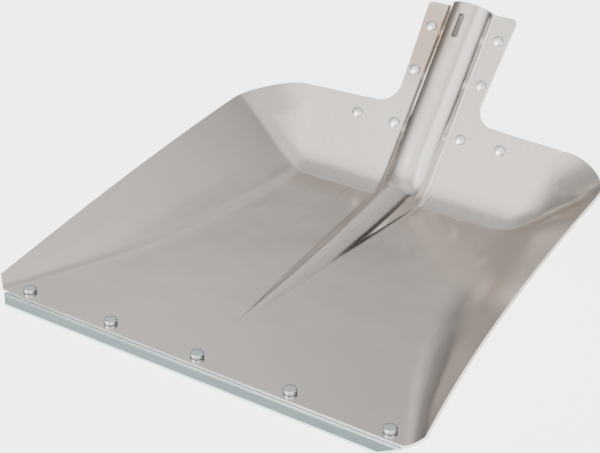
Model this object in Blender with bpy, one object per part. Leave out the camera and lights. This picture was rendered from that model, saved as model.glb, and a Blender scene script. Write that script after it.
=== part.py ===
"""Grain scoop shovel head: pressed aluminium blade, riveted steel wear strip, riveted handle socket.

Metres, +Z up, +X across the blade, +Y from the cutting edge to the handle socket.
The shapes are drawn with Y = 0 at the blade's cutting edge and Z = 0 on the top of the blade floor;
SHIFT places them in the middle of the footprint with the lowest point on Z = 0.
"""

import bpy
from math import atan, cos, exp, pi, radians, sin, tan
from mathutils import Vector
from mathutils.geometry import delaunay_2d_cdt

# ---- stock and fits ----
CLEAR = 0.0003            # gap left between pieces that touch
SHEET = 0.0020            # blade sheet
PLATE = 0.0015            # socket plate sheet
STRIP = 0.0020            # wear strip

# ---- blade outline, seen from above ----
FRONT_HALF = 0.1698       # half the cutting edge
CORNER_X, CORNER_Y = 0.1800, 0.0091   # outer end of the front corner cut
SIDE_X, SIDE_FLARE, SIDE_DECAY = 0.1660, 0.0140, 0.110
SHOULDER_X, SHOULDER_Y, SHOULDER_R = 0.1190, 0.2880, 0.0480
FILLET_X, FILLET_S, FILLET_R = 0.0546, 0.0905, 0.0170
NECK_HALF, NECK_END, NECK_R = 0.0412, 0.1675, 0.0045

# ---- blade form ----
BACK_Y = 0.2896           # where the back slope would meet the floor
BACK_ANGLE = radians(49.0)
WALL_SLOPE = 0.77         # side wall rise per unit across
WALL_NEAR, WALL_REACH, WALL_DECAY = 0.085, 0.092, 0.190
FLOOR_BLEND, CORNER_BLEND = 0.014, 0.045

# ---- centre rib: upper half of the handle socket, fading out along the floor ----
RIB_TIP, RIB_FULL = 0.046, 0.297
RIB_HALF = 0.0240
RIB_STEEP, STEEP_FULL = 0.69, 0.285       # rise over half width in the neck, and where it gets there
ROOT_SHARE = 0.20                         # root fillet's share of the two radii
TILT_FROM, TILT_TO = 0.255, 0.335
SLOT_S, SLOT_LENGTH, SLOT_WIDTH = 0.1465, 0.0220, 0.0052

# ---- wear strip ----
STRIP_OUT, STRIP_IN = 0.0115, 0.0160
STRIP_HALF = 0.1685

# ---- socket plate ----
PLATE_LOW, PLATE_TOP, PLATE_WING = 0.0400, 0.0690, 0.0780
PLATE_HALF, PLATE_R = 0.0403, 0.0080
CHANNEL_DEPTH, CHANNEL_HALF = 0.0165, 0.0235

# ---- rivets ----
EDGE_COUNT, EDGE_PITCH, EDGE_SHIFT, EDGE_Y = 5, 0.0765, 0.0018, 0.0088
EDGE_HEAD, EDGE_RISE, EDGE_SHANK = 0.0049, 0.0032, 0.0025
SINK_TOP, SINK_LOW = 0.0029, 0.0046
BACK_HEAD, BACK_RISE, BACK_SHANK = 0.0046, 0.0024, 0.0022
BACK_TAIL, TAIL_RISE = 0.0034, 0.0013
BACK_SEATS = ((0.0310, 0.1462), (0.0310, 0.1060), (0.0309, 0.0578), (0.0671, 0.0578))
TURN = 16                 # facets round a rivet or a hole

# ---- placing ----
DEPTH_MAX = SHEET + CLEAR + CHANNEL_DEPTH + PLATE
END_Y = BACK_Y + NECK_END * cos(BACK_ANGLE) + DEPTH_MAX * sin(BACK_ANGLE)
SHIFT = Vector((0.0, (STRIP_OUT - END_Y) / 2, SHEET + CLEAR + STRIP))
NORMAL = Vector((0.0, -sin(BACK_ANGLE), cos(BACK_ANGLE)))
UPHILL = Vector((0.0, cos(BACK_ANGLE), sin(BACK_ANGLE)))


def smooth_max(a, b, k):
    h = max(k - abs(a - b), 0.0) / k if k > 0.0 else 0.0
    return max(a, b) + h * h * k / 4


def smooth_step(value, low, high):
    t = min(max((value - low) / (high - low), 0.0), 1.0)
    return t * t * (3 - 2 * t)


def up_back(s):
    """Plan position of a point s up the back slope."""
    return BACK_Y + s * cos(BACK_ANGLE)


def wall_foot(y):
    return WALL_NEAR + WALL_REACH * exp(-max(y, 0.0) / WALL_DECAY)


def pan_height(x, y):
    """Top of the pan: floor, side walls and back slope, blended wider towards the rear corners."""
    blend = FLOOR_BLEND * (0.4 + 0.6 * smooth_step(y, 0.0, 0.12))
    side = smooth_max(0.0, WALL_SLOPE * (abs(x) - wall_foot(y)), blend)
    back = smooth_max(0.0, tan(BACK_ANGLE) * (y - BACK_Y), FLOOR_BLEND)
    return smooth_max(side, back, min(CORNER_BLEND, 2 * (side * back) ** 0.5))


def rib_size(y):
    """Half width and rise of the centre rib at y."""
    u = min(max((y - RIB_TIP) / (RIB_FULL - RIB_TIP), 0.0), 1.0)
    half = RIB_HALF * (1 - (1 - u) ** 1.25)
    climb = min(max((y - RIB_TIP) / (STEEP_FULL - RIB_TIP), 0.0), 1.0)
    return half, half * RIB_STEEP * climb ** 0.9


def arch(x, half, rise):
    """Height of a round arch with filleted roots: two arcs that meet at one steepest angle."""
    if rise <= 1e-6 or abs(x) >= half:
        return 0.0
    steep = 2 * atan(rise / half)
    reach = half / sin(steep)
    root, crown = ROOT_SHARE * reach, (1 - ROOT_SHARE) * reach
    if abs(x) <= crown * sin(steep):
        return rise - crown + (crown ** 2 - x ** 2) ** 0.5
    return root - (root ** 2 - (half - abs(x)) ** 2) ** 0.5


def blade_top(x, y):
    half, rise = rib_size(y)
    lift = arch(x, half, rise)
    tilt = BACK_ANGLE * smooth_step(y, TILT_FROM, TILT_TO)
    return Vector((x, y - lift * sin(tilt), pan_height(x, y) + lift * cos(tilt)))


def plate_top(x, s):
    """Top of the socket plate, s up the slope: flat flanges and a channel that fades out downhill."""
    depth = CHANNEL_DEPTH * smooth_step(s, PLATE_LOW + 0.010, NECK_END + 0.060) / \
        smooth_step(NECK_END, PLATE_LOW + 0.010, NECK_END + 0.060)
    drop = SHEET + CLEAR + arch(x, CHANNEL_HALF, depth)
    return Vector((x, BACK_Y, 0.0)) + UPHILL * s - NORMAL * drop


def strip_top(x, y):
    return Vector((x, y, -SHEET - CLEAR))


def arc(cx, cy, radius, start, end, steps, squash=1.0):
    """Points along an arc in plan; squash shortens it along Y for a sloping face."""
    turns = [radians(start + (end - start) * i / steps) for i in range(steps + 1)]
    return [(cx + radius * cos(a), cy + squash * radius * sin(a)) for a in turns]


def mirrored(right):
    """Close a right-hand outline with its mirror image."""
    return right + [(-x, y) for x, y in reversed(right)]


def blade_outline():
    squash = cos(BACK_ANGLE)
    side = [(SIDE_X + SIDE_FLARE * exp(-(y - CORNER_Y) / SIDE_DECAY), y)
            for y in (CORNER_Y + (SHOULDER_Y - CORNER_Y) * i / 20 for i in range(20))]
    edge = [(FRONT_HALF * i / 12, 0.0) for i in range(1, 13)] + side
    edge += arc(SHOULDER_X, SHOULDER_Y, SHOULDER_R, 0, 90, 14)
    edge += [(0.104, up_back(0.0717)), (0.089, up_back(0.0720)), (0.074, up_back(0.0726))]
    edge += arc(FILLET_X, up_back(FILLET_S), FILLET_R, -90, -180, 8, squash)
    edge += [(0.0384, up_back(0.108)), (0.0394, up_back(0.128)), (0.0404, up_back(0.147))]
    edge += arc(NECK_HALF - NECK_R, up_back(NECK_END - NECK_R), NECK_R, 0, 90, 5, squash)
    edge += [(x, up_back(NECK_END)) for x in (0.030, 0.0240, 0.0221, 0.0206, 0.0190, 0.0168, 0.0139, 0.0101, 0.0053)]
    ring = mirrored(edge)
    return ring[:len(edge)] + [(0.0, up_back(NECK_END))] + ring[len(edge):] + [(0.0, 0.0)]


def plate_outline():
    r, wing = PLATE_R, PLATE_WING
    edge = [(x, PLATE_LOW) for x in (0.0235, 0.045)]
    edge += arc(wing - r, PLATE_LOW + r, r, -90, 0, 5) + arc(wing - r, PLATE_TOP - r, r, 0, 90, 5)
    edge += arc(0.0530, 0.0870, 0.0180, -90, -160, 5)
    edge += [(0.0378, 0.108), (0.0386, 0.128), (0.0396, 0.147)]
    edge += arc(PLATE_HALF - NECK_R, NECK_END - NECK_R, NECK_R, 0, 90, 5)
    edge += [(x, NECK_END) for x in (0.029, 0.0235, 0.0216, 0.0202, 0.0186, 0.0165, 0.0136, 0.0099, 0.0052)]
    ring = mirrored(edge)
    return ring[:len(edge)] + [(0.0, NECK_END)] + ring[len(edge):] + [(0.0, PLATE_LOW)]


def strip_outline():
    cut = STRIP_HALF - STRIP_OUT + 0.0006
    half = [(cut, -STRIP_OUT), (STRIP_HALF, -0.0006), (STRIP_HALF, STRIP_IN)]
    return mirrored(half)


def edge_seats():
    first = EDGE_SHIFT - EDGE_PITCH * (EDGE_COUNT - 1) / 2
    return [(first + EDGE_PITCH * i, EDGE_Y) for i in range(EDGE_COUNT)]


def back_seats():
    return [(side * x, s) for x, s in BACK_SEATS for side in (-1, 1)]


def hole_ring(cx, cy, radius, squash=1.0):
    return arc(cx, cy, radius, 0, 360 - 360 / TURN, TURN - 1, squash)


def slot_ring():
    straight, r = (SLOT_LENGTH - SLOT_WIDTH) / 2, SLOT_WIDTH / 2
    ends = [(1, 0, 180), (-1, 180, 360)]
    return [(x, up_back(SLOT_S + side * straight) + dy * cos(BACK_ANGLE))
            for side, a, b in ends for x, dy in arc(0.0, 0.0, r, a, b, 6)]


def spread(low, high, gap):
    """Evenly spaced values after low up to and including high, no further apart than gap."""
    steps = max(1, round((high - low) / gap))
    return [low + (high - low) * (i + 1) / steps for i in range(steps)]


def blade_grid():
    """Interior points of the blade blank, closest where the sheet bends."""
    rows = spread(-0.002, RIB_TIP, 0.013) + spread(RIB_TIP, 0.268, 0.0125)
    rows += spread(0.268, 0.316, 0.0048) + spread(0.316, up_back(0.160), 0.0090)
    points = []
    for y in rows:
        half = rib_size(y)[0]
        marks = [0.0]
        if half > 0.003:
            steps = (0.22, 0.42, 0.58, 0.70, 0.79, 0.86, 0.92, 1.0) if half > 0.010 else (0.4, 0.8, 1.0)
            marks += [half * t for t in steps]
        foot = min(wall_foot(y), 0.176)
        reach = FLOOR_BLEND / WALL_SLOPE
        marks += spread(marks[-1], foot - reach, 0.016)
        marks += spread(foot - reach, foot + reach, 0.0075) + spread(foot + reach, 0.184, 0.014)
        points += [(side * x, y) for x in marks for side in (-1, 1) if x > 0 or side > 0]
    return points


def plate_grid():
    points = []
    for s in spread(PLATE_LOW, 0.160, 0.0105):
        marks = [CHANNEL_HALF * t for t in (0.0, 0.22, 0.42, 0.58, 0.70, 0.79, 0.86, 0.92, 1.0)]
        marks += spread(CHANNEL_HALF, 0.080, 0.014)
        points += [(side * x, s) for x in marks for side in (-1, 1) if x > 0 or side > 0]
    return points


def inside(point, ring):
    """Even-odd test of a plan point against a closed ring."""
    x, y = point
    hit = False
    for (x1, y1), (x2, y2) in zip(ring, ring[1:] + ring[:1]):
        if (y1 > y) != (y2 > y) and x < x1 + (x2 - x1) * (y - y1) / (y2 - y1):
            hit = not hit
    return hit


def clear_of(point, rings, margin):
    """True when a plan point is at least margin from every segment of the rings."""
    p = Vector(point)
    for ring in rings:
        for a, b in zip(ring, ring[1:] + ring[:1]):
            start, along = Vector(a), Vector(b) - Vector(a)
            t = min(max((p - start).dot(along) / along.length_squared, 0.0), 1.0)
            if (p - start - along * t).length < margin:
                return False
    return True


def blank(outline, holes, grid, margin):
    """Flat triangulated blank: plan points, triangles and boundary edges in order."""
    rings = [outline] + holes
    points, edges = [], []
    for ring in rings:
        base = len(points)
        points += ring
        edges += [(base + i, base + (i + 1) % len(ring)) for i in range(len(ring))]
    keep = [p for p in grid if inside(p, outline) and clear_of(p, rings, margin)]
    flat = [Vector(p) for p in points + keep]
    verts, _, faces, _, _, _ = delaunay_2d_cdt(flat, edges, [], 0, 1e-7)
    kept = []
    for face in faces:
        middle = sum((verts[i] for i in face), Vector((0.0, 0.0))) / len(face)
        if inside(middle, outline) and not any(inside(middle, hole) for hole in holes):
            kept.append(tuple(face))
    return verts, kept


def surface_normal(surface, x, y):
    step = 0.0002
    across = surface(x + step, y) - surface(x - step, y)
    along = surface(x, y + step) - surface(x, y - step)
    return across.cross(along).normalized()


def formed_sheet(name, flat, surface, thickness, material, lower=None):
    """Form a flat blank onto a surface and give it its thickness below that surface."""
    points, faces = flat
    top = [surface(p[0], p[1]) for p in points]
    under = [lower(p) if lower else p for p in points]
    low = [surface(q[0], q[1]) - surface_normal(surface, q[0], q[1]) * thickness for q in under]
    count = len(points)
    sides = {}
    for face in faces:
        for a, b in zip(face, face[1:] + face[:1]):
            sides[(a, b)] = (a, b)
    rim = [(b, a, a + count, b + count) for a, b in sides if (b, a) not in sides]
    shell = [tuple(f) for f in faces] + [tuple(i + count for i in reversed(f)) for f in faces] + rim
    return add_body(name, top + low, shell, material)


def add_body(name, verts, faces, material):
    mesh = bpy.data.meshes.new(name)
    mesh.from_pydata([tuple(v) for v in verts], [], faces)
    mesh.materials.append(material)
    body = bpy.data.objects.new(name, mesh)
    body.location = SHIFT
    bpy.context.scene.collection.objects.link(body)
    return body


def turned(name, profile, material):
    """Solid of revolution about Z: profile is (radius, height) from the tail's middle to the head's."""
    verts = [Vector((0.0, 0.0, profile[0][1])), Vector((0.0, 0.0, profile[-1][1]))]
    for radius, height in profile[1:-1]:
        verts += [Vector((radius * cos(a), radius * sin(a), height))
                  for a in (2 * pi * i / TURN for i in range(TURN))]
    faces = []
    levels = len(profile) - 2
    for i in range(TURN):
        j = (i + 1) % TURN
        faces.append((0, 2 + j, 2 + i))
        faces.append((1, 2 + (levels - 1) * TURN + i, 2 + (levels - 1) * TURN + j))
        for k in range(levels - 1):
            low, high = 2 + k * TURN, 2 + (k + 1) * TURN
            faces.append((low + i, low + j, high + j, high + i))
    return add_body(name, verts, faces, material)


def metal(name, colour, roughness):
    material = bpy.data.materials.new(name)
    material.use_nodes = True
    shader = material.node_tree.nodes["Principled BSDF"]
    shader.inputs["Base Color"].default_value = (*colour, 1.0)
    shader.inputs["Metallic"].default_value = 1.0
    shader.inputs["Roughness"].default_value = roughness
    return material


def make_blade():
    squash = cos(BACK_ANGLE)
    holes = [hole_ring(x, y, EDGE_SHANK + CLEAR) for x, y in edge_seats()]
    holes += [hole_ring(x, up_back(s), BACK_SHANK + CLEAR, squash) for x, s in back_seats()]
    flat = blank(blade_outline(), holes + [slot_ring()], blade_grid(), 0.0022)
    return formed_sheet("blade", flat, blade_top, SHEET, metal("blade_aluminium", (0.56, 0.54, 0.52), 0.34))


def make_wear_strip():
    """Flat steel bar; its holes open out downwards to take the sunk rivet ends."""
    holes = [hole_ring(x, y, SINK_TOP) for x, y in edge_seats()]
    grid = [(x * 0.028, y) for x in range(-5, 6) for y in (-0.004, EDGE_Y)]
    flat = blank(strip_outline(), holes, grid, 0.006)

    def opened(p):
        for x, y in edge_seats():
            away = Vector(p) - Vector((x, y))
            if away.length < SINK_TOP + 0.0002:
                return Vector((x, y)) + away * (SINK_LOW / SINK_TOP)
        return p

    steel = metal("strip_steel", (0.47, 0.52, 0.54), 0.38)
    return formed_sheet("wear_strip", flat, strip_top, STRIP, steel, opened)


def make_socket_plate():
    holes = [hole_ring(x, s, BACK_SHANK + CLEAR) for x, s in back_seats()]
    flat = blank(plate_outline(), holes, plate_grid(), 0.0022)
    sheet = metal("plate_aluminium", (0.54, 0.53, 0.52), 0.40)
    return formed_sheet("socket_plate", flat, plate_top, PLATE, sheet)


def make_edge_rivets():
    top, low = CLEAR, -SHEET - CLEAR - STRIP + 0.0001
    head, rise, shank = EDGE_HEAD, EDGE_RISE, EDGE_SHANK
    profile = [(0.0, low), (SINK_LOW - 0.00045, low), (shank, -SHEET - CLEAR), (shank, top),
               (head, top), (head, top + rise * 0.62), (head * 0.90, top + rise * 0.88),
               (head * 0.66, top + rise), (0.0, top + rise * 1.02)]
    for i, (x, y) in enumerate(edge_seats()):
        zinc = metal(f"edge_rivet_steel_{i + 1}", (0.60, 0.64, 0.66), 0.26)
        rivet = turned(f"edge_rivet_{i + 1}", profile, zinc)
        rivet.location = SHIFT + Vector((x, y, 0.0))


def make_socket_rivets():
    top, low = CLEAR, -SHEET - PLATE - 2 * CLEAR
    head, shank, rise = BACK_HEAD, BACK_SHANK, BACK_RISE
    profile = [(0.0, low - TAIL_RISE), (BACK_TAIL * 0.8, low - TAIL_RISE), (BACK_TAIL, low - TAIL_RISE * 0.6),
               (BACK_TAIL, low), (shank, low), (shank, top), (head, top)]
    profile += [(head * cos(a), top + rise * (0.18 + 0.82 * sin(a)))
                for a in (radians(d) for d in (0, 25, 48, 70))] + [(0.0, top + rise)]
    for i, (x, s) in enumerate(back_seats()):
        bright = metal(f"socket_rivet_aluminium_{i + 1}", (0.70, 0.70, 0.69), 0.24)
        rivet = turned(f"socket_rivet_{i + 1}", profile, bright)
        rivet.location = SHIFT + Vector((x, BACK_Y, 0.0)) + UPHILL * s
        rivet.rotation_euler = (BACK_ANGLE, 0.0, 0.0)


for old in list(bpy.data.objects):
    bpy.data.objects.remove(old, do_unlink=True)

make_blade()
make_wear_strip()
make_socket_plate()
make_edge_rivets()
make_socket_rivets()
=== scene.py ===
"""Grain scoop shovel head, shown on a pale floor in soft light.

The shapes are drawn with Y = 0 at the blade's cutting edge and Z = 0 on the top of the blade floor,
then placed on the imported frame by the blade's own box.
"""

import bpy
import numpy as np
from math import cos, exp, pi, radians, sin, tan
from mathutils import Matrix, Vector
from mathutils.geometry import delaunay_2d_cdt


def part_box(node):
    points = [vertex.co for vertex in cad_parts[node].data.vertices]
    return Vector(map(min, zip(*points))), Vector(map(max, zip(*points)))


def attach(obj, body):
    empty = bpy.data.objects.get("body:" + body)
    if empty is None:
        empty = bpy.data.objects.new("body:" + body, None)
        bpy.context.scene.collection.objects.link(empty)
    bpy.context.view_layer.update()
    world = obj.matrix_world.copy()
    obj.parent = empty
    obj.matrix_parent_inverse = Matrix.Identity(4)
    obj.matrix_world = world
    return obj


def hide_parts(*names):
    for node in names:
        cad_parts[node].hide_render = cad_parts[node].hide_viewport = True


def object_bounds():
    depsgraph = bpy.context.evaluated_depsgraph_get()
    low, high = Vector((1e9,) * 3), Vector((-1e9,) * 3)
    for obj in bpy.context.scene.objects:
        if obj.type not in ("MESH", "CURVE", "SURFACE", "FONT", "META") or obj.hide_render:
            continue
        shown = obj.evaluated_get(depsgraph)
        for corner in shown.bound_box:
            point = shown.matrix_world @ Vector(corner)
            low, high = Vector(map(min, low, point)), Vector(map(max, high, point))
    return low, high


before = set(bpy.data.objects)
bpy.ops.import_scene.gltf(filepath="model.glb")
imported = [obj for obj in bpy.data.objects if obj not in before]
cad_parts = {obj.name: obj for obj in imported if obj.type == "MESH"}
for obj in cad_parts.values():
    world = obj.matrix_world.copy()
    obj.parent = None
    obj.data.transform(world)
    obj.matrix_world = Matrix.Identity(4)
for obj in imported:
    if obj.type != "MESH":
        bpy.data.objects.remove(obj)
cad_low, cad_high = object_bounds()

# ---- stock and fits, metres ----
CLEAR, SHEET, PLATE, STRIP, EDGE_ROUND = 0.0003, 0.0020, 0.0015, 0.0020, 0.00025

# ---- blade outline ----
FRONT_HALF = 0.1698
CORNER_X, CORNER_Y = 0.1800, 0.0091
SIDE_X, SIDE_FLARE, SIDE_DECAY = 0.1660, 0.0140, 0.110
SHOULDER_X, SHOULDER_Y, SHOULDER_R = 0.1190, 0.2880, 0.0480
FILLET_X, FILLET_S, FILLET_R = 0.0546, 0.0905, 0.0170
NECK_HALF, NECK_END, NECK_R = 0.0412, 0.1675, 0.0045
BACK_EDGE = ((0.1040, 0.0717), (0.0890, 0.0720), (0.0740, 0.0726))
NECK_SIDE = ((0.0384, 0.108), (0.0394, 0.128), (0.0404, 0.147))

# ---- blade form ----
BACK_Y, BACK_ANGLE = 0.2896, radians(49.0)
WALL_SLOPE, WALL_NEAR, WALL_REACH, WALL_DECAY = 0.77, 0.085, 0.092, 0.190
FLOOR_BLEND, CORNER_BLEND = 0.014, 0.045
RIB_TIP, RIB_FULL, RIB_HALF = 0.046, 0.297, 0.0240
RIB_STEEP, STEEP_FULL, ROOT_SHARE = 0.69, 0.285, 0.20
TILT_FROM, TILT_TO = 0.255, 0.335
SLOT_S, SLOT_LENGTH, SLOT_WIDTH = 0.1465, 0.0220, 0.0052

# ---- wear strip, socket plate and rivets ----
STRIP_OUT, STRIP_IN, STRIP_HALF, STRIP_CUT = 0.0115, 0.0160, 0.1685, 0.0006
PLATE_LOW, PLATE_TOP, PLATE_WING, PLATE_HALF, PLATE_R = 0.0400, 0.0690, 0.0780, 0.0403, 0.0080
PLATE_FILLET_X, PLATE_FILLET_S, PLATE_FILLET_R = 0.0530, 0.0870, 0.0180
PLATE_SIDE = ((0.0378, 0.108), (0.0386, 0.128), (0.0396, 0.147))
CHANNEL_DEPTH, CHANNEL_HALF = 0.0165, 0.0235
EDGE_HEAD, EDGE_RISE, EDGE_SHANK, SINK_TOP, SINK_LOW = 0.0049, 0.0032, 0.0025, 0.0029, 0.0046
BACK_HEAD, BACK_RISE, BACK_SHANK, BACK_TAIL, TAIL_RISE = 0.0046, 0.0024, 0.0022, 0.0034, 0.0013
SINK_LIP, HEAD_FOOT_R, HEAD_TOP_R, TAIL_R, DOME_RIM = 0.00045, 0.0002, 0.0010, 0.0005, 0.16
BACK_SEATS = ((0.0310, 0.1462), (0.0310, 0.1060), (0.0309, 0.0578), (0.0671, 0.0578))

# ---- metal finishes ----
ROLLED, DRAWN, STRUCK = (90.0, 4.0, 30.0), (6.0, 120.0, 60.0), (60.0, 60.0, 60.0)
NOISE_LOW, NOISE_HIGH, LINE_SHARE, CLOUD_SHARE, ROUGH_SPREAD = 0.30, 0.70, 0.55, 0.45, 0.04
CLOUD_SCALE, GRAIN_SCALE, RIPPLE_HEIGHT, GRAIN_HEIGHT = 14.0, 1500.0, 0.0015, 0.00005
# the aluminium is darkened to brown round one spot on the left flange of the neck
LEFT_FLANGE, BROWN_REACH, BROWN_TINT = (-0.036, 0.135), 0.050, (0.80, 0.70, 0.61)

# ---- studio ----
# A card, gap or doorway edge is (direction, where it starts, where it is full, amount).
FLOOR_HALF, FLOOR_GLOW, SKY_LOW = 6.0, 3.8, 0.07
PALE_CARDS = (((0.0, 0.0, 1.0), 0.06, 0.26, 0.32), ((0.0, 0.0, 1.0), 0.43, 0.54, 0.46),
              ((0.0, 0.0, 1.0), 0.54, 1.0, 0.53), ((-0.2, -0.97, 0.12), 0.25, 0.80, 1.40),
              ((0.86, -0.38, 0.34), 0.80, 0.95, 2.30), ((-0.62, 0.56, 0.54), 0.962, 1.0, 0.38),
              ((-0.35, -0.87, 0.34), 0.92, 0.97, 5.8), ((0.62, 0.76, 0.13), 0.91, 0.97, 3.8))
DARK_GAPS = (((-0.55, 0.20, 0.81), 0.87, 0.96, 0.28), ((0.07, 0.74, 0.67), 0.92, 0.98, 0.25))
DOORWAY = (((-0.12, 0.0, -0.99), -0.700, -0.665, 1.0), ((1.0, 0.0, 0.0), -0.22, -0.06, 1.0),
           ((-1.0, 0.0, 0.0), -0.76, -0.62, 1.0), ((0.0, 1.0, 0.0), 0.35, 0.50, 1.0),
           ((0.0, 0.0, 1.0), 0.22, 0.28, 0.98))
LENS, CAMERA_AT, CAMERA_VIEW = 90.0, (0.5326, -0.6634, 0.5749), (-0.4838, 0.7285, -0.4851)

blade_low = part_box("blade")[0]
PLACE = Vector((0.0, blade_low.y, blade_low.z + SHEET))
NORMAL = Vector((0.0, -sin(BACK_ANGLE), cos(BACK_ANGLE)))
UPHILL = Vector((0.0, cos(BACK_ANGLE), sin(BACK_ANGLE)))


# ---------------------------------------------------------------- surfaces

def smooth_max(a, b, k):
    """Larger of two arrays, rounded over where they are within k of each other."""
    h = np.maximum(k - np.abs(a - b), 0.0) / np.maximum(k, 1e-9)
    return np.maximum(a, b) + h * h * k / 4


def smooth_step(value, low, high):
    t = np.clip((value - low) / (high - low), 0.0, 1.0)
    return t * t * (3 - 2 * t)


def up_back(s):
    return BACK_Y + s * cos(BACK_ANGLE)


def wall_foot(y):
    return WALL_NEAR + WALL_REACH * np.exp(-np.maximum(y, 0.0) / WALL_DECAY)


def pan_height(x, y):
    blend = FLOOR_BLEND * (0.4 + 0.6 * smooth_step(y, 0.0, 0.12))
    side = smooth_max(0.0 * x, WALL_SLOPE * (np.abs(x) - wall_foot(y)), blend)
    back = smooth_max(0.0 * x, tan(BACK_ANGLE) * (y - BACK_Y), FLOOR_BLEND)
    return smooth_max(side, back, np.minimum(CORNER_BLEND, 2 * np.sqrt(side * back)))


def rib_size(y):
    u = np.clip((y - RIB_TIP) / (RIB_FULL - RIB_TIP), 0.0, 1.0)
    half = RIB_HALF * (1 - (1 - u) ** 1.25)
    climb = np.clip((y - RIB_TIP) / (STEEP_FULL - RIB_TIP), 0.0, 1.0)
    return half, half * RIB_STEEP * climb ** 0.9


def arch(x, half, rise):
    """Height of a round arch with filleted roots: two arcs that meet at one steepest angle."""
    half, rise = np.maximum(half, 1e-6), np.maximum(rise, 1e-8)
    steep = 2 * np.arctan(rise / half)
    reach = half / np.maximum(np.sin(steep), 1e-6)
    root, crown = ROOT_SHARE * reach, (1 - ROOT_SHARE) * reach
    top = rise - crown + np.sqrt(np.maximum(crown ** 2 - x ** 2, 0.0))
    foot = root - np.sqrt(np.maximum(root ** 2 - (half - np.abs(x)) ** 2, 0.0))
    height = np.where(np.abs(x) <= crown * np.sin(steep), top, foot)
    return np.where(np.abs(x) >= half, 0.0, height)


def blade_top(x, y):
    half, rise = rib_size(y)
    lift = arch(x, half, rise)
    tilt = BACK_ANGLE * smooth_step(y, TILT_FROM, TILT_TO)
    return np.stack([x, y - lift * np.sin(tilt), pan_height(x, y) + lift * np.cos(tilt)], -1)


def plate_top(x, s):
    fade = smooth_step(s, PLATE_LOW + 0.010, NECK_END + 0.060)
    depth = CHANNEL_DEPTH * fade / smooth_step(NECK_END, PLATE_LOW + 0.010, NECK_END + 0.060)
    drop = SHEET + CLEAR + arch(x, CHANNEL_HALF, depth)
    y = BACK_Y + UPHILL.y * s - NORMAL.y * drop
    return np.stack([x, y, UPHILL.z * s - NORMAL.z * drop], -1)


def strip_top(x, y):
    return np.stack([x, y, 0.0 * x - SHEET - CLEAR], -1)


# ---------------------------------------------------------------- outlines

def arc(cx, cy, radius, start, end, steps, squash=1.0):
    turns = [radians(start + (end - start) * i / steps) for i in range(steps + 1)]
    return [(cx + radius * cos(a), cy + squash * radius * sin(a)) for a in turns]


def divide(path, gap):
    """The path with points added so that none are further apart than gap."""
    out = [path[0]]
    for (x0, y0), (x1, y1) in zip(path, path[1:]):
        steps = max(1, int(((x1 - x0) ** 2 + (y1 - y0) ** 2) ** 0.5 / gap))
        out += [(x0 + (x1 - x0) * i / steps, y0 + (y1 - y0) * i / steps) for i in range(1, steps + 1)]
    return out


def ring_of(right, gap):
    """Closed outline from its right half, which runs from the middle of one end to the other's."""
    half = divide(right, gap)
    return half + [(-x, y) for x, y in reversed(half[1:-1])]


def blade_outline():
    squash = cos(BACK_ANGLE)
    edge = [(0.0, 0.0), (FRONT_HALF, 0.0)]
    edge += [(SIDE_X + SIDE_FLARE * exp(-(y - CORNER_Y) / SIDE_DECAY), y)
             for y in np.linspace(CORNER_Y, SHOULDER_Y, 60)[:-1]]
    edge += arc(SHOULDER_X, SHOULDER_Y, SHOULDER_R, 0, 90, 40)
    edge += [(x, up_back(s)) for x, s in BACK_EDGE]
    edge += arc(FILLET_X, up_back(FILLET_S), FILLET_R, -90, -180, 24, squash)
    edge += [(x, up_back(s)) for x, s in NECK_SIDE]
    edge += arc(NECK_HALF - NECK_R, up_back(NECK_END - NECK_R), NECK_R, 0, 90, 14, squash)
    edge += [(0.0, up_back(NECK_END))]
    return ring_of(edge, 0.0030)


def plate_outline():
    r, wing = PLATE_R, PLATE_WING
    edge = [(0.0, PLATE_LOW)]
    edge += arc(wing - r, PLATE_LOW + r, r, -90, 0, 16) + arc(wing - r, PLATE_TOP - r, r, 0, 90, 16)
    edge += arc(PLATE_FILLET_X, PLATE_FILLET_S, PLATE_FILLET_R, -90, -160, 16) + list(PLATE_SIDE)
    edge += arc(PLATE_HALF - NECK_R, NECK_END - NECK_R, NECK_R, 0, 90, 12) + [(0.0, NECK_END)]
    return ring_of(edge, 0.0020)


def strip_outline():
    cut = STRIP_HALF - STRIP_OUT + STRIP_CUT
    edge = [(0.0, -STRIP_OUT), (cut, -STRIP_OUT), (STRIP_HALF, -STRIP_CUT), (STRIP_HALF, STRIP_IN),
            (0.0, STRIP_IN)]
    return ring_of(edge, 0.0060)


def edge_seats():
    """Middle of each edge rivet, taken from its box."""
    seats = []
    for name in sorted(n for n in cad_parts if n.startswith("edge_rivet_")):
        low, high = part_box(name)
        seats.append((name, (low.x + high.x) / 2 - PLACE.x, (low.y + high.y) / 2 - PLACE.y))
    return seats


def back_seats():
    places = [(side * x, s) for x, s in BACK_SEATS for side in (-1, 1)]
    return [(f"socket_rivet_{i + 1}", x, s) for i, (x, s) in enumerate(places)]


def hole_ring(cx, cy, radius, squash=1.0, steps=32):
    return arc(cx, cy, radius, 0, 360 - 360 / steps, steps - 1, squash)


def slot_ring():
    straight, r = (SLOT_LENGTH - SLOT_WIDTH) / 2, SLOT_WIDTH / 2
    return [(x, up_back(SLOT_S + side * straight) + dy * cos(BACK_ANGLE))
            for side, a, b in ((1, 0, 180), (-1, 180, 360)) for x, dy in arc(0.0, 0.0, r, a, b, 14)]


# ---------------------------------------------------------------- sheet meshes

def spread(low, high, gap):
    steps = max(1, round((high - low) / gap))
    return [low + (high - low) * (i + 1) / steps for i in range(steps)]


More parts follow.
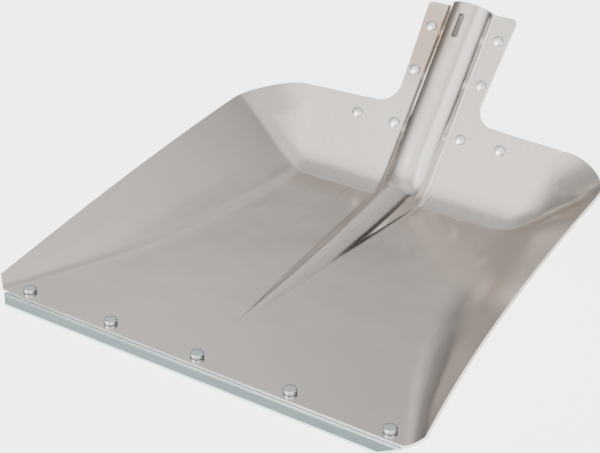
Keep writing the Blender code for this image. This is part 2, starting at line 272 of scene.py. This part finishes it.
def blade_grid():
    rows = spread(-0.002, 0.262, 0.0042) + spread(0.262, 0.330, 0.0020)
    rows += spread(0.330, up_back(0.165), 0.0026)
    points = []
    for y in rows:
        half = float(rib_size(y)[0])
        marks = [0.0]
        if half > 0.0008:
            steps = max(3, min(34, round(half / 0.0007)))
            marks += [half * 1.01 * sin(pi / 2 * i / steps) ** 0.9 for i in range(1, steps + 1)]
        foot = min(float(wall_foot(y)), 0.176)
        reach = FLOOR_BLEND / WALL_SLOPE
        marks += spread(marks[-1], foot - reach, 0.0060)
        marks += spread(foot - reach, foot + reach, 0.0030) + spread(foot + reach, 0.184, 0.0045)
        points += [(side * x, y) for x in marks for side in (-1, 1) if x > 0 or side > 0]
    return points


def plate_grid():
    points = []
    for s in spread(PLATE_LOW, 0.165, 0.0030):
        marks = [CHANNEL_HALF * 1.03 * sin(pi / 2 * i / 16) for i in range(17)]
        marks += spread(CHANNEL_HALF * 1.03, 0.080, 0.0050)
        points += [(side * x, s) for x in marks for side in (-1, 1) if x > 0 or side > 0]
    return points


def inside(points, ring):
    x, y = points[:, 0], points[:, 1]
    hit = np.zeros(len(points), bool)
    for (x1, y1), (x2, y2) in zip(ring, ring[1:] + ring[:1]):
        if y1 != y2:
            crosses = (y1 > y) != (y2 > y)
            hit ^= crosses & (x < x1 + (x2 - x1) * (y - y1) / (y2 - y1))
    return hit


def clear_of(points, ring, margin):
    free = np.ones(len(points), bool)
    for a, b in zip(ring, ring[1:] + ring[:1]):
        start, along = np.array(a), np.array(b) - np.array(a)
        t = np.clip((points - start) @ along / (along @ along), 0.0, 1.0)
        free &= np.linalg.norm(points - start - t[:, None] * along, axis=1) >= margin
    return free


def blank(outline, holes, grid, margin):
    """Flat triangulated blank: its points and its triangles."""
    rings, points, edges = [outline] + holes, [], []
    for ring in rings:
        base = len(points)
        points += ring
        edges += [(base + i, base + (i + 1) % len(ring)) for i in range(len(ring))]
    spots = np.array(grid)
    keep = inside(spots, outline)
    for ring in rings:
        keep &= clear_of(spots, ring, margin)
    flat = [Vector(p) for p in points] + [Vector(p) for p in spots[keep]]
    verts, _, faces, _, _, _ = delaunay_2d_cdt(flat, edges, [], 0, 1e-8)
    verts, faces = np.array([tuple(v) for v in verts]), np.array(faces)
    middle = verts[faces].mean(1)
    good = inside(middle, outline)
    for hole in holes:
        good &= ~inside(middle, hole)
    return verts, faces[good]


def formed_sheet(name, flat, surface, thickness, lower=None):
    """Form a flat blank onto a surface and give it its thickness below that surface."""
    points, faces = flat
    under = points if lower is None else lower(points)
    step = 0.0001
    x, y = under[:, 0], under[:, 1]
    across = surface(x + step, y) - surface(x - step, y)
    along = surface(x, y + step) - surface(x, y - step)
    normal = np.cross(across, along)
    normal /= np.linalg.norm(normal, axis=1)[:, None]
    top, low = surface(points[:, 0], points[:, 1]), surface(x, y) - normal * thickness
    count = len(points)
    sides = {(int(a), int(b)) for f in faces for a, b in ((f[0], f[1]), (f[1], f[2]), (f[2], f[0]))}
    rim = [(b, a, a + count, b + count) for a, b in sides if (b, a) not in sides]
    shell = [tuple(int(i) for i in f) for f in faces]
    shell += [tuple(int(i) + count for i in reversed(f)) for f in faces] + sorted(rim)
    return add_piece(name, np.concatenate([top, low]), shell)


def add_piece(name, verts, faces, edge_round=EDGE_ROUND):
    mesh = bpy.data.meshes.new(name)
    mesh.from_pydata([tuple(v) for v in verts], [], faces)
    mesh.transform(Matrix.Translation(PLACE))
    mesh.shade_smooth()
    piece = bpy.data.objects.new(name, mesh)
    bpy.context.scene.collection.objects.link(piece)
    if edge_round:
        bevel = piece.modifiers.new("edge_round", "BEVEL")
        bevel.width, bevel.segments = edge_round, 2
        bevel.limit_method, bevel.angle_limit = "ANGLE", radians(50)
        bevel.harden_normals = True
    return piece


def turned(profile, steps=40):
    """Verts and faces of a solid of revolution about Z, from (radius, height) points, tail to head."""
    verts = [(0.0, 0.0, profile[0][1]), (0.0, 0.0, profile[-1][1])]
    for radius, height in profile[1:-1]:
        verts += [(radius * cos(a), radius * sin(a), height)
                  for a in (2 * pi * i / steps for i in range(steps))]
    faces, levels = [], len(profile) - 2
    for i in range(steps):
        j = (i + 1) % steps
        faces += [(0, 2 + j, 2 + i),
                  (1, 2 + (levels - 1) * steps + i, 2 + (levels - 1) * steps + j)]
        for k in range(levels - 1):
            low, high = 2 + k * steps, 2 + (k + 1) * steps
            faces.append((low + i, low + j, high + j, high + i))
    return np.array(verts), faces


def corner(r0, z0, radius, start, end, steps=6):
    """Profile points round a corner whose centre is at (r0, z0)."""
    return [(r0 + radius * cos(radians(start + (end - start) * i / steps)),
             z0 + radius * sin(radians(start + (end - start) * i / steps))) for i in range(steps + 1)]


# ---------------------------------------------------------------- materials

def node(tree, kind, **values):
    made = tree.nodes.new(kind)
    for key, value in values.items():
        if key in made.inputs:
            made.inputs[key].default_value = value
        else:
            setattr(made, key, value)
    return made


def metal(name, dark, light, rough, streak, scale, bump):
    """Rolled or plated metal: long fine streaks, soft clouding, slow ripples and a light grain."""
    material = bpy.data.materials.new(name)
    material.use_nodes = True
    tree = material.node_tree
    link = tree.links.new
    shader = tree.nodes["Principled BSDF"]
    shader.inputs["Metallic"].default_value = 1.0
    coords = node(tree, "ShaderNodeTexCoord").outputs["Object"]
    stretch = node(tree, "ShaderNodeMapping")
    stretch.inputs["Scale"].default_value = streak
    link(coords, stretch.inputs["Vector"])
    lines = node(tree, "ShaderNodeTexNoise", Scale=scale, Detail=5.0, Roughness=0.6)
    cloud = node(tree, "ShaderNodeTexNoise", Scale=CLOUD_SCALE, Detail=2.0, Roughness=0.4)
    grain = node(tree, "ShaderNodeTexNoise", Scale=GRAIN_SCALE, Detail=2.0)
    link(stretch.outputs["Vector"], lines.inputs["Vector"])
    link(coords, cloud.inputs["Vector"])
    link(coords, grain.inputs["Vector"])
    soft = node(tree, "ShaderNodeMath", operation="MULTIPLY")
    soft.inputs[1].default_value = CLOUD_SHARE
    link(cloud.outputs["Fac"], soft.inputs[0])
    mix = node(tree, "ShaderNodeMath", operation="MULTIPLY_ADD")
    mix.inputs[1].default_value = LINE_SHARE
    link(lines.outputs["Fac"], mix.inputs[0])
    link(soft.outputs["Value"], mix.inputs[2])
    ramp = node(tree, "ShaderNodeValToRGB")
    stops = zip(ramp.color_ramp.elements, (NOISE_LOW, NOISE_HIGH), (dark, light))
    for stop, place, colour in stops:
        stop.position, stop.color = place, (*colour, 1.0)
    link(mix.outputs["Value"], ramp.inputs["Fac"])
    link(ramp.outputs["Color"], shader.inputs["Base Color"])
    dull = node(tree, "ShaderNodeMapRange")
    for limit, value in (("From Min", NOISE_LOW), ("From Max", NOISE_HIGH),
                         ("To Min", rough - ROUGH_SPREAD), ("To Max", rough + ROUGH_SPREAD)):
        dull.inputs[limit].default_value = value
    link(mix.outputs["Value"], dull.inputs["Value"])
    link(dull.outputs["Result"], shader.inputs["Roughness"])
    waves = node(tree, "ShaderNodeBump", Strength=0.5, Distance=RIPPLE_HEIGHT)
    link(cloud.outputs["Fac"], waves.inputs["Height"])
    relief = node(tree, "ShaderNodeBump", Strength=bump, Distance=GRAIN_HEIGHT)
    link(waves.outputs["Normal"], relief.inputs["Normal"])
    both = node(tree, "ShaderNodeMath", operation="ADD")
    link(lines.outputs["Fac"], both.inputs[0])
    link(grain.outputs["Fac"], both.inputs[1])
    link(both.outputs["Value"], relief.inputs["Height"])
    link(relief.outputs["Normal"], shader.inputs["Normal"])
    return material


def brown_spot(material, spot, reach, tint):
    """Brown a metal softly around one spot."""
    tree = material.node_tree
    link = tree.links.new
    colour = tree.nodes["Principled BSDF"].inputs["Base Color"]
    away = node(tree, "ShaderNodeVectorMath", operation="DISTANCE")
    away.inputs[1].default_value = spot
    link(node(tree, "ShaderNodeTexCoord").outputs["Object"], away.inputs[0])
    fade = node(tree, "ShaderNodeMapRange", interpolation_type="SMOOTHSTEP")
    fade.inputs["From Min"].default_value, fade.inputs["From Max"].default_value = reach, 0.4 * reach
    link(away.outputs["Value"], fade.inputs["Value"])
    mix = node(tree, "ShaderNodeMix", data_type="RGBA", blend_type="MULTIPLY")
    link(fade.outputs["Result"], mix.inputs["Factor"])
    link(colour.links[0].from_socket, mix.inputs["A"])
    mix.inputs["B"].default_value = (*tint, 1.0)
    link(mix.outputs["Result"], colour)


ALUMINIUM = metal("mill_aluminium", (0.60, 0.545, 0.50), (0.65, 0.595, 0.55), 0.18,
                  ROLLED, 3.0, 0.12)
BACK_SHEET = metal("plate_aluminium", (0.26, 0.235, 0.215), (0.36, 0.33, 0.305), 0.45,
                   ROLLED, 3.0, 0.25)
ZINC = metal("zinc_strip", (0.41, 0.53, 0.55), (0.57, 0.70, 0.71), 0.22,
             DRAWN, 4.0, 0.30)
RIVET_ZINC = metal("zinc_rivet", (0.50, 0.57, 0.60), (0.62, 0.68, 0.70), 0.22,
                   STRUCK, 6.0, 0.20)
RIVET_BRIGHT = metal("bright_rivet", (0.72, 0.71, 0.70), (0.82, 0.81, 0.80), 0.14,
                     STRUCK, 6.0, 0.20)
flange_x, flange_s = LEFT_FLANGE
# Darken the blade's aluminium to brown round the left flange of the neck.
brown_spot(ALUMINIUM, PLACE + Vector((flange_x, up_back(flange_s), UPHILL.z * flange_s)),
      BROWN_REACH, BROWN_TINT)


def dress(piece, material, nodes):
    piece.data.materials.clear()
    piece.data.materials.append(material)
    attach(piece, "root")
    for name in nodes:
        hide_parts(name)
    return piece


# ---------------------------------------------------------------- pieces

def make_blade():
    squash = cos(BACK_ANGLE)
    holes = [hole_ring(x, y, EDGE_SHANK + CLEAR) for _, x, y in edge_seats()]
    holes += [hole_ring(x, up_back(s), BACK_SHANK + CLEAR, squash) for _, x, s in back_seats()]
    flat = blank(blade_outline(), holes + [slot_ring()], blade_grid(), 0.0011)
    return dress(formed_sheet("seen_blade", flat, blade_top, SHEET), ALUMINIUM, ["blade"])


def make_strip():
    seats = [(x, y) for _, x, y in edge_seats()]
    holes = [hole_ring(x, y, SINK_TOP) for x, y in seats]
    grid = [(0.006 * i, y) for i in range(-27, 28) for y in (-0.007, -0.001, 0.004, 0.009, 0.013)]
    flat = blank(strip_outline(), holes, grid, 0.0020)

    def opened(points):
        out = points.copy()
        for seat in seats:
            away = points - np.array(seat)
            near = np.linalg.norm(away, axis=1) < SINK_TOP + 0.0002
            out[near] = np.array(seat) + away[near] * (SINK_LOW / SINK_TOP)
        return out

    piece = formed_sheet("seen_strip", flat, strip_top, STRIP, opened)
    return dress(piece, ZINC, ["wear_strip"])


def make_plate():
    holes = [hole_ring(x, s, BACK_SHANK + CLEAR) for _, x, s in back_seats()]
    flat = blank(plate_outline(), holes, plate_grid(), 0.0010)
    piece = formed_sheet("seen_socket_plate", flat, plate_top, PLATE)
    return dress(piece, BACK_SHEET, ["socket_plate"])


def make_rivets():
    top, under = CLEAR, -SHEET - CLEAR - STRIP + 0.0001
    head, rise = EDGE_HEAD, EDGE_RISE
    profile = [(0.0, under), (SINK_LOW - SINK_LIP, under)]
    profile += [(EDGE_SHANK, -SHEET - CLEAR), (EDGE_SHANK, top)]
    profile += corner(head - HEAD_FOOT_R, top + HEAD_FOOT_R, HEAD_FOOT_R, -90, 0, 3)
    profile += corner(head - HEAD_TOP_R, top + rise - HEAD_TOP_R - 0.0001, HEAD_TOP_R, 0, 78, 8)
    profile += [(head * 0.5, top + rise - 0.00003), (0.0, top + rise)]
    for name, x, y in edge_seats():
        verts, faces = turned(profile)
        piece = add_piece("seen_" + name, verts + np.array([x, y, 0.0]), faces, 0.0)
        dress(piece, RIVET_ZINC, [name])

    under = -SHEET - PLATE - 2 * CLEAR
    head, rise = BACK_HEAD, BACK_RISE
    tail = under - TAIL_RISE
    profile = [(0.0, tail)] + corner(BACK_TAIL - TAIL_R, tail + TAIL_R, TAIL_R, -90, 0)
    profile += [(BACK_TAIL, under), (BACK_SHANK, under), (BACK_SHANK, top), (head - 0.0001, top)]
    profile += [(head * cos(a), top + rise * (DOME_RIM + (1 - DOME_RIM) * sin(a) ** 0.9))
                for a in (radians(d) for d in range(0, 90, 9))] + [(0.0, top + rise)]
    lean = np.array([(1.0, 0.0, 0.0), tuple(UPHILL), tuple(NORMAL)])
    for name, x, s in back_seats():
        verts, faces = turned(profile)
        seat = np.array([x, BACK_Y + UPHILL.y * s, UPHILL.z * s])
        piece = add_piece("seen_" + name, verts @ lean + seat, faces, 0.0)
        dress(piece, RIVET_BRIGHT, [name])


# ---------------------------------------------------------------- setting

def make_floor():
    steps = 24
    axis = np.linspace(-FLOOR_HALF, FLOOR_HALF, steps + 1)
    verts = [(x, y, 0.0) for y in axis for x in axis]
    row = steps + 1
    faces = [(j * row + i, j * row + i + 1, (j + 1) * row + i + 1, (j + 1) * row + i)
             for j in range(steps) for i in range(steps)]
    mesh = bpy.data.meshes.new("floor")
    mesh.from_pydata(verts, [], faces)
    floor = bpy.data.objects.new("floor", mesh)
    floor.location.z = cad_low.z - 0.0003
    bpy.context.scene.collection.objects.link(floor)
    material = bpy.data.materials.new("pale_floor")
    material.use_nodes = True
    tree = material.node_tree
    shader = tree.nodes["Principled BSDF"]
    shader.inputs["Roughness"].default_value = 0.9
    shader.inputs["Emission Strength"].default_value = FLOOR_GLOW
    cloud = node(tree, "ShaderNodeTexNoise", Scale=3.0, Detail=3.0)
    ramp = node(tree, "ShaderNodeValToRGB")
    for stop, grey in zip(ramp.color_ramp.elements, (0.86, 0.90)):
        stop.color = (grey, grey, grey, 1.0)
    tree.links.new(cloud.outputs["Fac"], ramp.inputs["Fac"])
    tree.links.new(ramp.outputs["Color"], shader.inputs["Base Color"])
    tree.links.new(ramp.outputs["Color"], shader.inputs["Emission Color"])
    mesh.materials.append(material)


def make_light():
    """Soft studio sky: dim low down, with pale cards, softly darker gaps and one dark doorway."""
    world = bpy.context.scene.world or bpy.data.worlds.new("studio")
    bpy.context.scene.world = world
    world.use_nodes = True
    tree = world.node_tree
    link = tree.links.new
    way = node(tree, "ShaderNodeTexCoord").outputs["Generated"]

    def patch(axis, low, high, amount):
        """Soft patch of sky, from 0 where the direction's part along axis is low to amount."""
        part = node(tree, "ShaderNodeVectorMath", operation="DOT_PRODUCT")
        part.inputs[1].default_value = Vector(axis).normalized()
        link(way, part.inputs[0])
        ramp = node(tree, "ShaderNodeMapRange", interpolation_type="SMOOTHSTEP")
        ramp.inputs["From Min"].default_value, ramp.inputs["From Max"].default_value = low, high
        ramp.inputs["To Max"].default_value = amount
        link(part.outputs["Value"], ramp.inputs["Value"])
        return ramp.outputs["Result"]

    def combine(kind, a, b):
        made = node(tree, "ShaderNodeMath", operation=kind)
        for slot, value in zip(made.inputs, (a, b)):
            if isinstance(value, float):
                slot.default_value = value
            else:
                link(value, slot)
        return made.outputs["Value"]

    level = SKY_LOW
    for card in PALE_CARDS:
        level = combine("ADD", patch(*card), level)
    for gap in DARK_GAPS:
        level = combine("MULTIPLY", combine("SUBTRACT", 1.0, patch(*gap)), level)
    door = 1.0
    for limit in DOORWAY:
        door = combine("MULTIPLY", patch(*limit), door)
    level = combine("MULTIPLY", combine("SUBTRACT", 1.0, door), level)
    background = tree.nodes["Background"]
    background.inputs["Color"].default_value = (1.0, 1.0, 1.0, 1.0)
    link(level, background.inputs["Strength"])


def make_camera():
    camera = bpy.data.objects.new("camera", bpy.data.cameras.new("camera"))
    camera.data.lens, camera.data.sensor_width = LENS, 36.0
    camera.location = PLACE + Vector(CAMERA_AT)
    camera.rotation_euler = Vector(CAMERA_VIEW).to_track_quat("-Z", "Y").to_euler()
    bpy.context.scene.collection.objects.link(camera)
    bpy.context.scene.camera = camera


make_blade()
make_strip()
make_plate()
make_rivets()
make_floor()
make_light()
make_camera()
